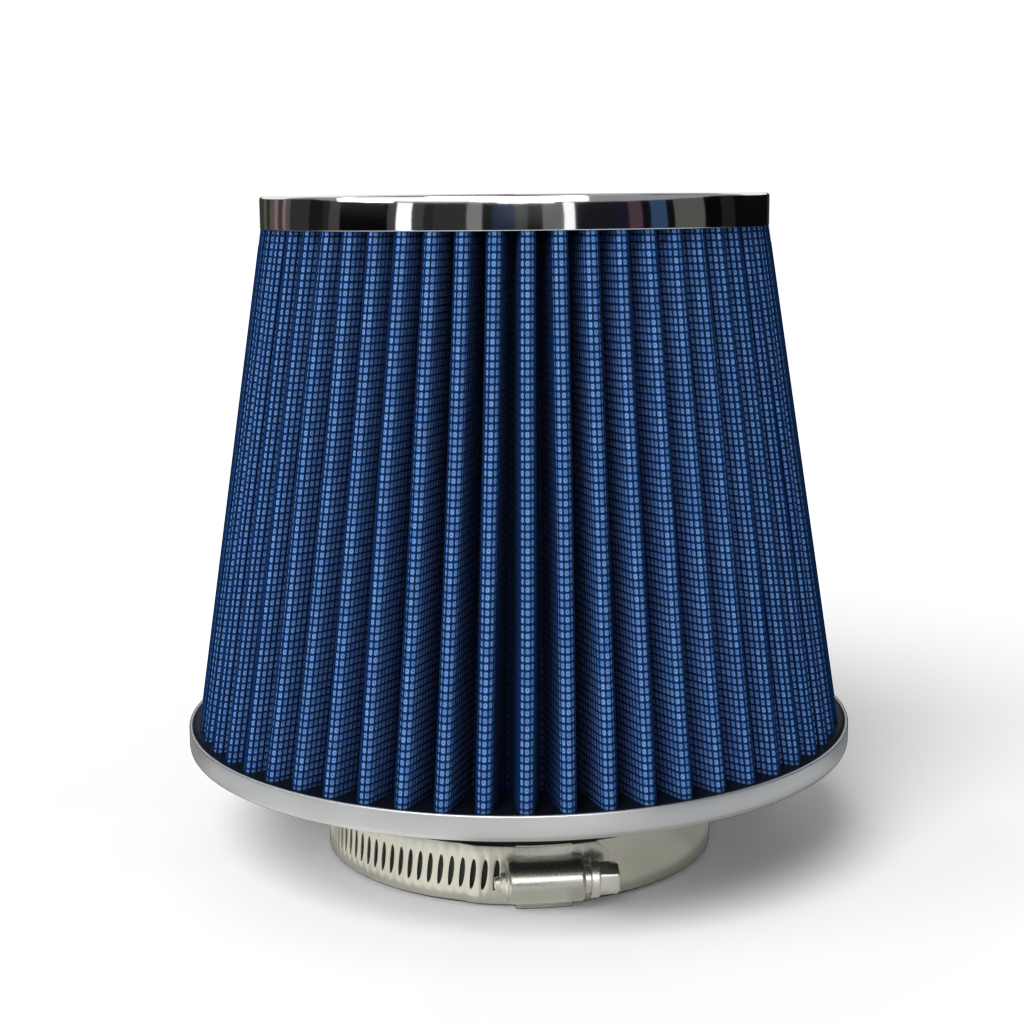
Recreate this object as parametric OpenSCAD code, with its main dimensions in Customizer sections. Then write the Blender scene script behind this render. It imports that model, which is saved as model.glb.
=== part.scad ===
// Clamp-on cone air filter, millimetres. +Z is up and the origin is the centre of the
// neck's lower rim, on which the filter stands. The clamp's screw side faces -Y.

/* [Overall] */
// Outer diameter of the base pan, the widest part
base_d = 150; // [120:1:190]
// Outer diameter of the top cap
cap_d = 111.4; // [92:0.2:136]
// Height of the pleats between the two pottings
media_h = 110; // [60:1:160]

/* [Inlet neck] */
// Bore that slips over the intake pipe
inlet_bore_d = 76; // [60:1:84]
// Wall of the rubber neck
neck_wall = 5.35; // [3.5:0.05:6.5]
// Length of the neck below the base pan
neck_h = 25.3; // [21:0.1:45]
// Rounding of the neck's lower rim
rim_round = 0.8; // [0.3:0.1:1.4]
// Radius of the bell mouth where the bore opens into the filter
bell_r = 3; // [1:0.5:4]
// Width of the flange that bonds the neck inside the pan
flange_w = 8; // [5:0.5:10]
// Thickness of that flange
flange_t = 2; // [1:0.1:2.5]

/* [Base pan] */
// Height of the pan's side wall
pan_h = 5.5; // [4.6:0.1:12]
// Sheet thickness of the pan
pan_t = 0.8; // [0.5:0.1:1.2]
// Rounding of the pan's lower corner
pan_round = 1.2; // [0.9:0.1:2]
// Depth of the potting's surface below the pan's rim
potting_drop = 0.5; // [0.2:0.1:1]

/* [Top cap] */
// Height of the cap's skirt
cap_h = 7; // [4:0.1:16]
// Sheet thickness of the cap
cap_t = 0.8; // [0.5:0.1:1]
// Rounding of the cap's upper edge
cap_round = 1.3; // [1.1:0.1:3]
// Width of the flat rim around the pressed recess
cap_rim_w = 9; // [4:0.5:14]
// Depth of the pressed recess
cap_recess = 0.8; // [0.2:0.1:1.5]
// Radial run of the step down into the recess
cap_step_w = 1.6; // [0.5:0.1:3]

/* [Pleat pack] */
// Number of pleats round the cone
pleat_count = 55; // [40:1:66]
// Depth of a pleat from its tip to the valley floor
pleat_depth = 14; // [8:0.5:16.5]
// Bend radius at the middle of the folded stack
fold_r = 0.9; // [0.85:0.05:1]
// Thickness of one wire screen
screen_t = 0.4; // [0.3:0.05:0.4]
// Thickness of one ply of cotton gauze
ply_t = 0.2; // [0.1:0.05:0.2]
// Distance from the pan's outer face to the pleat tips
pan_to_pleats = 2.2; // [1.5:0.1:6]
// Distance from the cap's outer face to the pleat tips
cap_to_pleats = 0.05; // [0:0.05:3]
// Turn of the pleats between the pan and the cap, in degrees
pleat_twist = 1.5; // [0:0.1:3]
// Direction of the pleat nearest the screw, in degrees from -Y toward +X
pleat_lead = 0.9; // [0:0.1:6]
// Sheet thickness of the strip that closes the pack's seam
clip_t = 0.3; // [0.2:0.05:0.35]
// Gap between that strip and the inner screen
clip_gap = 0.35; // [0.3:0.05:0.4]
// How far up the pleat's flanks the strip reaches, as a share of the flank
clip_reach = 0.25; // [0.15:0.05:0.3]

/* [Clamp band] */
// Width of the band
band_w = 12.7; // [9:0.1:14]
// Thickness of the band
band_t = 0.65; // [0.5:0.05:0.7]
// Height of the band's lower edge above the neck's rim
band_z = 0.7; // [0.7:0.1:5]
// Direction of the housing, in degrees from -Y toward +X
clamp_angle = 6.2; // [-30:0.5:30]
// Clearance between the neck and the band
band_fit = 0.1; // [0.05:0.01:0.1]
// Clearance between two layers of band
layer_fit = 0.1; // [0.05:0.01:0.15]
// How far the free end sticks out of the housing, in degrees
tail_reach = 8.4; // [8:0.1:16]
// Corner cut on the free end
tail_cut = 3; // [1:0.1:4]
// Where the slotted strap ends under the lap, in degrees back from the housing
strap_sweep = 165; // [140:1:170]
// Overlap of the band's two parts at the back, in degrees
lap = 20; // [14:1:26]

/* [Slots] */
// Pitch of the slots and of the screw's thread
slot_pitch = 2.51; // [2.45:0.01:3]
// Length of a slot
slot_l = 6.5; // [5:0.1:7.5]
// Width of a slot
slot_w = 1; // [1:0.05:1.2]
// Number of slots behind the one under the middle of the screw
slots_behind = 38; // [10:1:40]

/* [Housing and screw] */
// Length of the housing's barrel
barrel_l = 16; // [15:0.1:18]
// Outer diameter of the barrel
barrel_d = 9.8; // [9.4:0.1:10.4]
// Sheet thickness of the housing
housing_t = 0.7; // [0.5:0.05:0.75]
// Thickness of the barrel's end walls
end_wall = 1; // [0.8:0.1:1.5]
// Width of the legs that fold round the band's edges
leg_w = 11.6; // [9:0.1:14]
// Thickness of the folded legs
leg_t = 0.5; // [0.4:0.05:0.5]
// Clearance of the strap in the housing
strap_fit = 0.1; // [0.1:0.01:0.2]
// Crest diameter of the worm thread
thread_d = 7.1; // [6.9:0.05:7.2]
// Core diameter of the worm thread
core_d = 5.4; // [4.8:0.1:5.6]
// How far the thread's crest reaches into the strap
thread_bite = 0.4; // [0.2:0.05:0.5]
// Diameter of the screw's journals
journal_d = 5.8; // [5.6:0.1:5.9]
// Radial clearance of the journals in the end walls
journal_fit = 0.07; // [0.03:0.01:0.1]
// Axial play of the thread between the end walls
thread_play = 0.3; // [0.2:0.1:0.6]
// Length of the screw's tapered tip outside the barrel
tip_l = 2.7; // [1:0.1:4]
// Diameter at the end of that tip
tip_end_d = 2.4; // [1:0.1:4]
// Gap between the barrel and the screw's flange
head_gap = 1.2; // [0.5:0.1:2]
// Diameter of the flange under the head
flange_d = 7.8; // [7.4:0.1:7.9]
// Thickness of that flange
head_flange_t = 1.9; // [1:0.1:2.5]
// Width of the hexagon across its flats
hex_af = 6.4; // [5.5:0.1:6.6]
// Length of the hexagon
hex_l = 4.1; // [3:0.1:6]
// Width of the screwdriver slot
driver_w = 1.2; // [0.8:0.1:1.5]
// Depth of the screwdriver slot
driver_depth = 1.8; // [1:0.1:2.5]

/* [Hidden] */
$fn = 96;
over = 1; // how far a cutter runs past the face it cuts

// Radii and heights of the stack
bore_r = inlet_bore_d / 2;
neck_r = bore_r + neck_wall;
base_r = base_d / 2;
cap_r = cap_d / 2;
pan_floor = neck_h + pan_t;
flange_top = pan_floor + flange_t;
media_bottom = neck_h + pan_h - potting_drop;
media_top = media_bottom + media_h;
cap_top = media_top + cap_h;

// Pleat pack: four plies of gauze between two screens
ply_count = 4;
stack_t = 2 * screen_t + ply_count * ply_t;
tip_r_bottom = base_r - pan_to_pleats;
tip_r_top = cap_r - cap_to_pleats;
pleat_pitch = 360 / pleat_count;
seam_pleat = floor(pleat_count / 2);

// Clamp: the band's inner layer lies on the neck, and the outer layer on the inner one
band_r = neck_r + band_fit;
outer_r = band_r + band_t + layer_fit;
strap_top_r = outer_r + band_t;
band_mid = band_z + band_w / 2;
screw_r = strap_top_r - thread_bite + thread_d / 2;
pitch_r = strap_top_r - thread_bite / 2;
slot_step = slot_pitch / pitch_r * 180 / PI;
slot_lean = atan(slot_pitch / (PI * (thread_d - thread_bite)));
turns_tighter = 1;
turns_looser = 2;
barrel_half = asin(barrel_l / 2 / outer_r);
leg_half = asin(leg_w / 2 / outer_r);
tongue_end = -barrel_half - 0.4;
tail_end = barrel_half + tail_reach;
end_gap = 0.8; // degrees kept free ahead of an end of band, over the strap's whole travel
slots_ahead = floor(tail_end / slot_step - 1);
ramp_sweep = 2 * slot_step;
// The strap's ramp starts and ends at bends midway between two slots
slots_raised = ceil((end_gap - tongue_end) / slot_step + turns_tighter - 0.5);
strap_ramp = -(slots_raised + 0.5) * slot_step;
lap_ramp_end = 360 - strap_sweep - turns_looser * slot_step - end_gap;
lap_ramp = lap_ramp_end - ramp_sweep;
lap_end = 360 - strap_sweep + lap;
thread_l = barrel_l - 2 * (end_wall + thread_play);

// ---- helpers ----

// Points of an arc about [cx, cy], ends included
function arc(cx, cy, r, from, to, steps) =
    [for (i = [0:steps]) let (a = from + (to - from) * i / steps) [cx + r * cos(a), cy + r * sin(a)]];
function reversed(list) = [for (i = [len(list) - 1:-1:0]) list[i]];
function mix(a, b, share) = a + (b - a) * share;
function smooth(x) = x * x * (3 - 2 * x);

// A point u along the circle and v out from the centre, about the direction a
function around(a, u, v) = [v * cos(a) - u * sin(a), v * sin(a) + u * cos(a)];

// Points of pleat k at one height, on the surface that lies e outside the middle of the
// stack: four round the tip, then two round the next valley
function tip_points(k, e, tip_r, turn) =
    [for (b = [-90, -30, 30, 90])
        around(turn + k * pleat_pitch, (fold_r + e) * sin(b),
            tip_r - fold_r - stack_t / 2 + (fold_r + e) * cos(b))];
function valley_points(k, e, tip_r, turn) =
    [for (b = [-45, 45])
        around(turn + (k + 0.5) * pleat_pitch, (fold_r - e) * sin(b),
            tip_r - pleat_depth - (fold_r - e) * cos(b))];
function pleat_loop(e, tip_r, turn) =
    [for (k = [0:pleat_count - 1])
        each concat(tip_points(k, e, tip_r, turn), valley_points(k, e, tip_r, turn))];
function at_height(points, z) = [for (p = points) [p[0], p[1], z]];

// One layer of the pleated stack, between the surfaces inner and outer
module pleated_layer(inner, outer) {
    turn = pleat_lead - 90;
    outer_low = pleat_loop(outer, tip_r_bottom, turn);
    n = len(outer_low);
    points = concat(
        at_height(outer_low, media_bottom),
        at_height(pleat_loop(outer, tip_r_top, turn + pleat_twist), media_top),
        at_height(pleat_loop(inner, tip_r_bottom, turn), media_bottom),
        at_height(pleat_loop(inner, tip_r_top, turn + pleat_twist), media_top));
    polyhedron(points, [for (i = [0:n - 1]) let (j = (i + 1) % n) each [
        [i, n + i, n + j], [i, n + j, j],
        [2 * n + i, 3 * n + j, 3 * n + i], [2 * n + i, 2 * n + j, 3 * n + j],
        [n + i, 3 * n + i, 3 * n + j], [n + i, 3 * n + j, n + j],
        [i, 2 * n + j, 2 * n + i], [i, j, 2 * n + j]]]);
}

// Outline of the seam strip at one height: it clasps one valley from the inside
function clip_side(e, tip_r, turn) =
    let (
        valley = valley_points(seam_pleat, e, tip_r, turn),
        left = tip_points(seam_pleat, e, tip_r, turn)[3],
        right = tip_points(seam_pleat + 1, e, tip_r, turn)[0])
    [mix(valley[0], left, clip_reach), valley[0], valley[1], mix(valley[1], right, clip_reach)];
function clip_outline(tip_r, turn) =
    concat(
        clip_side(-stack_t / 2 - clip_gap, tip_r, turn),
        reversed(clip_side(-stack_t / 2 - clip_gap - clip_t, tip_r, turn)));

// A stretch of band about Z, its angles counted from -Y toward +X
module band_arc(inner_r, t, from, to, z, w) {
    rotate([0, 0, from - 90]) rotate_extrude(angle = to - from)
        translate([inner_r, z]) square([t, w]);
}

// A stretch of band through stations, each an angle and the band's inner radius there
module band_strip(stations) {
    inner = [for (s = stations) around(s[0] - 90, 0, s[1])];
    outer = [for (s = stations) around(s[0] - 90, 0, s[1] + band_t)];
    translate([0, 0, band_z]) linear_extrude(band_w) polygon(concat(outer, reversed(inner)));
}

// Puts what is drawn along +Z onto the screw's axis, with z = 0 at the barrel's middle
module on_screw() {
    translate([0, -screw_r, band_mid]) rotate([0, 90, 0]) children();
}

module on_clamp() {
    rotate([0, 0, clamp_angle]) children();
}

// ---- top ----

// The cap's outer and inner surfaces as one profile each, from the skirt's edge inward
function cap_surface(inset) =
    concat(
        [[cap_r - inset, media_top]],
        arc(cap_r - cap_round, cap_top - cap_round, cap_round - inset, 0, 90, 6),
        [[cap_r - cap_rim_w, cap_top - inset],
         [cap_r - cap_rim_w - cap_step_w, cap_top - cap_recess - inset],
         [0, cap_top - cap_recess - inset]]);

module top_cap() {
    color("silver") rotate_extrude()
        polygon(concat(cap_surface(0), reversed(cap_surface(cap_t))));
}

module top_potting() {
    color([0.08, 0.08, 0.09]) rotate_extrude()
        polygon(concat(cap_surface(cap_t), [[0, media_top]]));
}

// ---- pleat pack ----

module outer_screen() {
    color([0.12, 0.25, 0.5]) pleated_layer(stack_t / 2 - screen_t, stack_t / 2);
}

// Ply 1 is the outermost
module gauze_ply(number) {
    outer = stack_t / 2 - screen_t - (number - 1) * ply_t;
    color([0.2, 0.4, 0.7]) pleated_layer(outer - ply_t, outer);
}

module inner_screen() {
    color([0.12, 0.25, 0.5]) pleated_layer(-stack_t / 2, screen_t - stack_t / 2);
}

module seam_clip() {
    turn = pleat_lead - 90;
    low = clip_outline(tip_r_bottom, turn);
    n = len(low);
    color("silver") polyhedron(
        concat(at_height(low, media_bottom),
            at_height(clip_outline(tip_r_top, turn + pleat_twist), media_top)),
        concat(
            [for (i = [0:n - 1]) let (j = (i + 1) % n) each [[i, n + j, n + i], [i, j, n + j]]],
            [for (i = [0:n / 2 - 2]) let (j = n - 1 - i) each [
                [i, j, j - 1], [i, j - 1, i + 1],
                [n + i, n + j - 1, n + j], [n + i, n + i + 1, n + j - 1]]]));
}

// ---- base ----

// The pan's outer and inner surfaces, from the wall's rim down and inward to the hole
function pan_surface(inset) =
    concat(
        [[base_r - inset, neck_h + pan_h]],
        arc(base_r - pan_round, neck_h + pan_round, pan_round - inset, 0, -90, 6),
        [[neck_r, neck_h + inset]]);

module base_pan() {
    color("silver") rotate_extrude()
        polygon(concat(pan_surface(0), reversed(pan_surface(pan_t))));
}

module base_potting() {
    wall = pan_surface(pan_t);
    color([0.06, 0.06, 0.07]) rotate_extrude()
        polygon(concat(
            [[bore_r + bell_r, media_bottom], [wall[0][0], media_bottom]],
            [for (i = [1:len(wall) - 2]) wall[i]],
            [[neck_r + flange_w, pan_floor], [neck_r + flange_w, flange_top],
             [bore_r + bell_r, flange_top]]));
}

module inlet_neck() {
    color([0.1, 0.1, 0.1]) rotate_extrude()
        polygon(concat(
            arc(bore_r + rim_round, rim_round, rim_round, 180, 270, 5),
            arc(neck_r - rim_round, rim_round, rim_round, 270, 360, 5),
            [[neck_r, pan_floor], [neck_r + flange_w, pan_floor],
             [neck_r + flange_w, flange_top]],
            arc(bore_r + bell_r, flange_top - bell_r, bell_r, 90, 180, 6)));
}

// ---- clamp ----

// The captive band lies on the neck, and ramps up to lap over the slotted strap's end
module clamp_band() {
    flat = 2; // degrees of band in one flat
    low_flats = ceil((lap_ramp - tongue_end) / flat);
    lap_flats = ceil((lap_end - lap_ramp_end) / flat);
    color([0.75, 0.74, 0.7]) on_clamp() band_strip(concat(
        [for (i = [0:low_flats]) [mix(tongue_end, lap_ramp, i / low_flats), band_r]],
        [for (i = [1:8]) [mix(lap_ramp, lap_ramp_end, i / 8), mix(band_r, outer_r, smooth(i / 8))]],
        [for (i = [1:lap_flats]) [mix(lap_ramp_end, lap_end, i / lap_flats), outer_r]]));
}

// One slot through the strap, leaning as the thread does
module slot_cutter() {
    rotate([90, 0, 0]) linear_extrude(band_t + 2 * over, center = true) rotate(-slot_lean) {
        square([slot_w, slot_l - slot_w], center = true);
        for (side = [-1, 1]) translate([0, side * (slot_l - slot_w) / 2]) circle(d = slot_w, $fn = 32);
    }
}

// Cuts the two corners off the free end
module tail_cutter() {
    for (side = [-1, 1])
        rotate([0, 0, tail_end]) translate([0, -outer_r, band_mid + side * band_w / 2])
            rotate([0, 45, 0]) cube([tail_cut * sqrt(2), 3 * band_t + over, tail_cut * sqrt(2)],
                center = true);
}

// The strap's inner radius: on the housing's side it lies on the captive band, and behind
// its ramp on the neck
function strap_r(angle) =
    let (s = (angle - strap_ramp + ramp_sweep) / ramp_sweep)
    mix(band_r, outer_r, smooth(max(0, min(1, s))));

module slotted_strap() {
    // One flat for each slot, with the bends midway between slots
    first = -floor(strap_sweep / slot_step - 0.6);
    last = floor(tail_end / slot_step - 0.6);
    bends = concat([-strap_sweep], [for (k = [first:last]) (k + 0.5) * slot_step], [tail_end]);
    color([0.78, 0.77, 0.73]) on_clamp() difference() {
        band_strip([for (a = bends) [a, strap_r(a)]]);
        for (k = [-slots_behind:slots_ahead])
            rotate([0, 0, k * slot_step]) translate([0, -outer_r, band_mid]) slot_cutter();
        tail_cutter();
    }
}

// The space in the housing that the two layers of band take
module band_passage() {
    rotate_extrude() {
        translate([band_r - over, band_z]) square([band_t + over + layer_fit, band_w]);
        translate([band_r + band_t, band_z - strap_fit])
            square([strap_top_r + strap_fit - band_r - band_t, band_w + 2 * strap_fit]);
    }
}

module clamp_housing() {
    leg_bottom = band_z - strap_fit - leg_t;
    leg_height = band_w + 2 * (strap_fit + leg_t);
    color([0.7, 0.7, 0.7]) on_clamp() difference() {
        union() {
            on_screw() cylinder(d = barrel_d, h = barrel_l, center = true);
            band_arc(band_r, strap_top_r + strap_fit + housing_t - band_r, -leg_half, leg_half,
                leg_bottom, leg_height);
        }
        band_passage();
        on_screw() {
            cylinder(d = barrel_d - 2 * housing_t, h = barrel_l - 2 * end_wall, center = true);
            cylinder(r = journal_d / 2 + journal_fit, h = barrel_l + 2 * over, center = true);
        }
    }
}

// Section of the worm: one tooth on a round core, turned along the screw by the extrusion
function worm_section() =
    concat(
        [for (a = [-30, 0, 30]) thread_d / 2 * [cos(a), sin(a)]],
        [for (a = [60:30:300]) core_d / 2 * [cos(a), sin(a)]]);

module clamp_screw() {
    lead = 0.2; // how far one length of the screw runs into the next
    slices_per_turn = 16;
    turns = thread_l / slot_pitch;
    head_z = barrel_l / 2 + head_gap;
    hex_z = head_z + head_flange_t;
    color([0.72, 0.72, 0.72]) on_clamp() on_screw() {
        translate([0, 0, -thread_l / 2])
            linear_extrude(thread_l, twist = -360 * turns, slices = round(slices_per_turn * turns),
                $fn = len(worm_section())) rotate(90 - 180 * turns) polygon(worm_section());
        translate([0, 0, -barrel_l / 2 - tip_l])
            cylinder(d1 = tip_end_d, d2 = journal_d, h = tip_l - lead);
        translate([0, 0, -barrel_l / 2 - lead])
            cylinder(d = journal_d, h = end_wall + thread_play + 2 * lead);
        translate([0, 0, thread_l / 2 - lead])
            cylinder(d = journal_d, h = head_z - thread_l / 2 + 2 * lead);
        translate([0, 0, head_z]) cylinder(d = flange_d, h = head_flange_t);
        difference() {
            intersection() {
                translate([0, 0, hex_z - lead]) rotate(30)
                    cylinder(d = hex_af / cos(30), h = hex_l + lead, $fn = 6);
                translate([0, 0, hex_z + hex_l - hex_af]) cylinder(d1 = 3 * hex_af, d2 = hex_af, h = hex_af);
            }
            translate([0, 0, hex_z + hex_l])
                cube([2 * hex_af, driver_w, 2 * driver_depth], center = true);
        }
    }
}

top_cap();
top_potting();
outer_screen();
gauze_ply(1);  // gauze_ply_1
gauze_ply(2);  // gauze_ply_2
gauze_ply(3);  // gauze_ply_3
gauze_ply(4);  // gauze_ply_4
inner_screen();
seam_clip();
base_pan();
base_potting();
inlet_neck();
clamp_band();
slotted_strap();
clamp_housing();
clamp_screw();
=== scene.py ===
import math

import bmesh
import bpy
import numpy as np
from mathutils import Matrix, Vector


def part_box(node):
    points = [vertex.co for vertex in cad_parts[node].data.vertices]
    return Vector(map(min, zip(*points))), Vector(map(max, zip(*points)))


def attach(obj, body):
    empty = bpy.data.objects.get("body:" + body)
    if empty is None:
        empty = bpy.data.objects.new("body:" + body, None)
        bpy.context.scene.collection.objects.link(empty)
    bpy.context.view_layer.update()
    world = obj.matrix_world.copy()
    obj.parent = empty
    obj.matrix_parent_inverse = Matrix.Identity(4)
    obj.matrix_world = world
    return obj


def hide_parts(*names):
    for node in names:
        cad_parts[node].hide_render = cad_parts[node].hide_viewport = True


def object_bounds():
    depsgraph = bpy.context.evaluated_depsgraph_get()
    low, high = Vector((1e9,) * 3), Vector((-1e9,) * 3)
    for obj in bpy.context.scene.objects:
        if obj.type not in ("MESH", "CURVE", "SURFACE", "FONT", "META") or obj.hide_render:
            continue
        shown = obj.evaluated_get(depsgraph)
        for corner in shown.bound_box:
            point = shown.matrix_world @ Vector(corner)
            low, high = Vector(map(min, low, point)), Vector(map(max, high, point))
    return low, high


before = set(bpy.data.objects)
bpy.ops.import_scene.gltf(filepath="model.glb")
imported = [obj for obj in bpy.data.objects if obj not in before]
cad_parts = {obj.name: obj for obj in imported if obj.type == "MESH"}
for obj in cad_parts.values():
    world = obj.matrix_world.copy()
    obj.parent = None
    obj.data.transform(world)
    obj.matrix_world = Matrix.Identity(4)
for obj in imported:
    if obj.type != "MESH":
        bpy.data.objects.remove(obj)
cad_box = [list(corner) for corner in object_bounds()]


# ---- Inlet neck ----
# The neck is a thick collar of black rubber that slips over the intake pipe. It is moulded
# onto the pan's hole, with a flange inside the pan and a bell mouth into the filter.

mm = 0.001
bore_r = 38 * mm
neck_r = 43.35 * mm
flange_r = neck_r + 8 * mm
flange_t = 2 * mm
neck_foot, neck_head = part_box("inlet_neck")


def near(vert, r, z):
    """Whether a vertex lies on the ring of that radius and height."""
    return abs(math.hypot(vert.co.x, vert.co.y) - r) < 2e-6 and abs(vert.co.z - z) < 2e-6


def turned(corners, steps=192):
    """Spins an outline about Z. Each corner is a radius, a height and the radius of its rounding."""
    bm = bmesh.new()
    points = [bm.verts.new((r, 0, z)) for r, z, _ in corners]
    ends = list(zip(points, points[1:]))
    if corners[0][0] or corners[-1][0]:
        ends.append((points[-1], points[0]))
    lines = [bm.edges.new(pair) for pair in ends]
    bmesh.ops.spin(bm, geom=points + lines, cent=(0, 0, 0), axis=(0, 0, 1), angle=math.tau,
                   steps=steps, use_merge=True)
    bmesh.ops.remove_doubles(bm, verts=bm.verts, dist=1e-7)
    bmesh.ops.recalc_face_normals(bm, faces=bm.faces)
    for r, z, rounding in corners:
        if rounding:
            ring = [e for e in bm.edges if all(near(v, r, z) for v in e.verts)]
            bmesh.ops.bevel(bm, geom=ring, offset=rounding, segments=4, profile=0.5,
                            affect="EDGES", material=-1)
    return bm


def add_piece(bm, name, body, finish, stands_for, sharp=40):
    """Makes the object of a finished bmesh. It rides on a body in place of CAD nodes, and its
    edges are sharp from that many degrees."""
    mesh = bpy.data.meshes.new(name)
    bm.to_mesh(mesh)
    bm.free()
    mesh.polygons.foreach_set("use_smooth", [True] * len(mesh.polygons))
    mesh.set_sharp_from_angle(angle=math.radians(sharp))
    mesh.materials.append(finish.material)
    piece = bpy.data.objects.new(name, mesh)
    bpy.context.scene.collection.objects.link(piece)
    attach(piece, body)
    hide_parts(*stands_for)
    return piece


class Value:
    """What a node gives out. Arithmetic on it adds Math nodes."""

    def __init__(self, finish, socket):
        self.finish = finish
        self.socket = socket

    def math(self, operation, *terms):
        return self.finish.node("ShaderNodeMath", {"operation": operation}, dict(enumerate(terms)))

    def __add__(self, other):
        return self.math("ADD", self, other)

    def __radd__(self, other):
        return self.math("ADD", other, self)

    def __sub__(self, other):
        return self.math("SUBTRACT", self, other)

    def __rsub__(self, other):
        return self.math("SUBTRACT", other, self)

    def __mul__(self, other):
        return self.math("MULTIPLY", self, other)

    def __rmul__(self, other):
        return self.math("MULTIPLY", other, self)

    def __truediv__(self, other):
        return self.math("DIVIDE", self, other)

    def __rtruediv__(self, other):
        return self.math("DIVIDE", other, self)

    def __pow__(self, other):
        return self.math("POWER", self, other)

    def __abs__(self):
        return self.math("ABSOLUTE", self)

    def clipped(self):
        return self.math("MINIMUM", self.math("MAXIMUM", self, 0.0), 1.0)


class Finish:
    """A material. node() adds any node to it, and give() feeds the shader."""

    def __init__(self, name, constants):
        self.material = bpy.data.materials.new(name)
        self.material.use_nodes = True
        self.tree = self.material.node_tree
        self.shader = self.tree.nodes["Principled BSDF"]
        for socket, value in constants.items():
            self.shader.inputs[socket].default_value = value

    def plug(self, socket, value):
        if isinstance(value, Value):
            self.tree.links.new(value.socket, socket)
        else:
            socket.default_value = value

    def node(self, kind, settings=None, sockets=None, output=0):
        node = self.tree.nodes.new(kind)
        for setting, value in (settings or {}).items():
            setattr(node, setting, value)
        for socket, value in (sockets or {}).items():
            self.plug(node.inputs[socket], value)
        return Value(self, node.outputs[output])

    def give(self, socket, value):
        self.plug(self.shader.inputs[socket], value)

    def noise(self, scale, stretch=(1, 1, 1), detail=2.0):
        """Noise over the piece, about 0.5, with features one metre over scale in size."""
        place = self.node("ShaderNodeTexCoord", output="Object")
        place = self.node("ShaderNodeMapping", None, {"Vector": place, "Scale": stretch})
        return self.node("ShaderNodeTexNoise", None,
                         {"Vector": place, "Scale": scale, "Detail": detail}, "Fac")

    def between(self, share, low, high):
        """Colour low where share is 0 and high where it is 1."""
        return self.node("ShaderNodeMix", {"data_type": "RGBA"}, {0: share, 6: low, 7: high}, 2)

    def bump(self, height, depth):
        """Raises the surface by depth metres where height is 1."""
        self.give("Normal", self.node("ShaderNodeBump", None, {"Height": height, "Distance": depth}))


rubber = Finish("moulded_rubber", {"Specular IOR Level": 0.4})
grain = rubber.noise(2600, detail=3)
bloom = rubber.noise(90)
rubber.give("Base Color", rubber.between(bloom, (0.010, 0.010, 0.011, 1), (0.022, 0.022, 0.023, 1)))
rubber.give("Roughness", 0.42 + 0.2 * grain)
rubber.bump(grain, 0.03 * mm)

neck = turned([
    (bore_r, neck_foot.z, 0.8 * mm),
    (neck_r, neck_foot.z, 0.8 * mm),
    (neck_r, neck_head.z - flange_t, 0.3 * mm),
    (flange_r, neck_head.z - flange_t, 0),
    (flange_r, neck_head.z, 0.4 * mm),
    (bore_r, neck_head.z, 3 * mm),
])
add_piece(neck, "inlet_neck_rubber", "filter", rubber, ["inlet_neck"])


# ---- Base pan ----
# A shallow pan spun from steel sheet, with a satin plating. Its wall is rolled over a little
# at the rim, where the edge is rounded.

pan_foot, pan_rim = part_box("base_pan")
pan_r = pan_rim.x
pan_t = 0.8 * mm

satin = Finish("satin_plate", {"Metallic": 1.0})
brushed = satin.noise(60, stretch=(1, 1, 40), detail=3)
cloud = satin.noise(35)
satin.give("Base Color", satin.between(cloud, (0.48, 0.49, 0.50, 1), (0.67, 0.68, 0.69, 1)))
satin.give("Roughness", 0.34 + 0.12 * brushed)
satin.bump(brushed, 0.015 * mm)

pan = turned([
    (neck_r, pan_foot.z, 0),
    (pan_r, pan_foot.z, 1.4 * mm),
    (pan_r, pan_rim.z, 0.35 * mm),
    (pan_r - pan_t, pan_rim.z, 0.35 * mm),
    (pan_r - pan_t, pan_foot.z + pan_t, 0.6 * mm),
    (neck_r, pan_foot.z + pan_t, 0),
], steps=256)
add_piece(pan, "base_pan_shell", "filter", satin, ["base_pan"])


# ---- Base potting ----
# Black polyurethane is poured into the pan round the neck's flange and the feet of the
# pleats. It sets glossy and creeps a little way up the pan's wall.

potting_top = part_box("base_potting")[1].z
potting_r = bore_r + 3 * mm
inner_wall = pan_r - pan_t

resin = Finish("black_resin", {"Specular IOR Level": 0.1})
ripple = resin.noise(120)
resin.give("Base Color", resin.between(ripple, (0.002, 0.003, 0.005, 1), (0.006, 0.008, 0.012, 1)))
resin.give("Roughness", 0.3 + 0.2 * ripple)
resin.bump(ripple, 0.15 * mm)

pour = turned([
    (potting_r, potting_top, 0.5 * mm),
    (inner_wall - 1.2 * mm, potting_top, 0),
    (inner_wall - 0.3 * mm, potting_top + 0.1 * mm, 0),
    (inner_wall, potting_top + 0.3 * mm, 0),
    (inner_wall, pan_foot.z + pan_t + 0.6 * mm, 0),
    (inner_wall - 0.6 * mm, pan_foot.z + pan_t, 0),
    (flange_r, pan_foot.z + pan_t, 0),
    (flange_r, neck_head.z, 0),
    (potting_r, neck_head.z, 0),
])
add_piece(pour, "base_resin", "filter", resin, ["base_potting"])


# ---- Gauze ----
# Four plies of blue cotton gauze, oiled, are folded into 55 deep pleats with the screens.
# The wires press a square quilting into the outer plies. Each pair of plies is one sheet.

pleats = 55
pleat_depth = 14 * mm
bend = 0.9 * mm
stack = 1.6 * mm
fold_length = 30.4 * mm
tip_bottom = 72.8 * mm
tip_top = 55.65 * mm
first_tip = math.radians(-89.1)
twist = math.radians(1.5)
pitch = math.tau / pleats
media_foot, media_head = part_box("outer_screen")
cloth_foot = media_foot.z - 0.7 * mm
cloth_head = media_head.z + 0.5 * mm
cloth_tall = cloth_head - cloth_foot
columns = 343
rows = 76
outer_offset = 0.40 * mm
puff = 0.16 * mm
chance = np.random.default_rng(7)
sway = chance.normal(0, 0.0032, (2, pleats))
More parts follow.
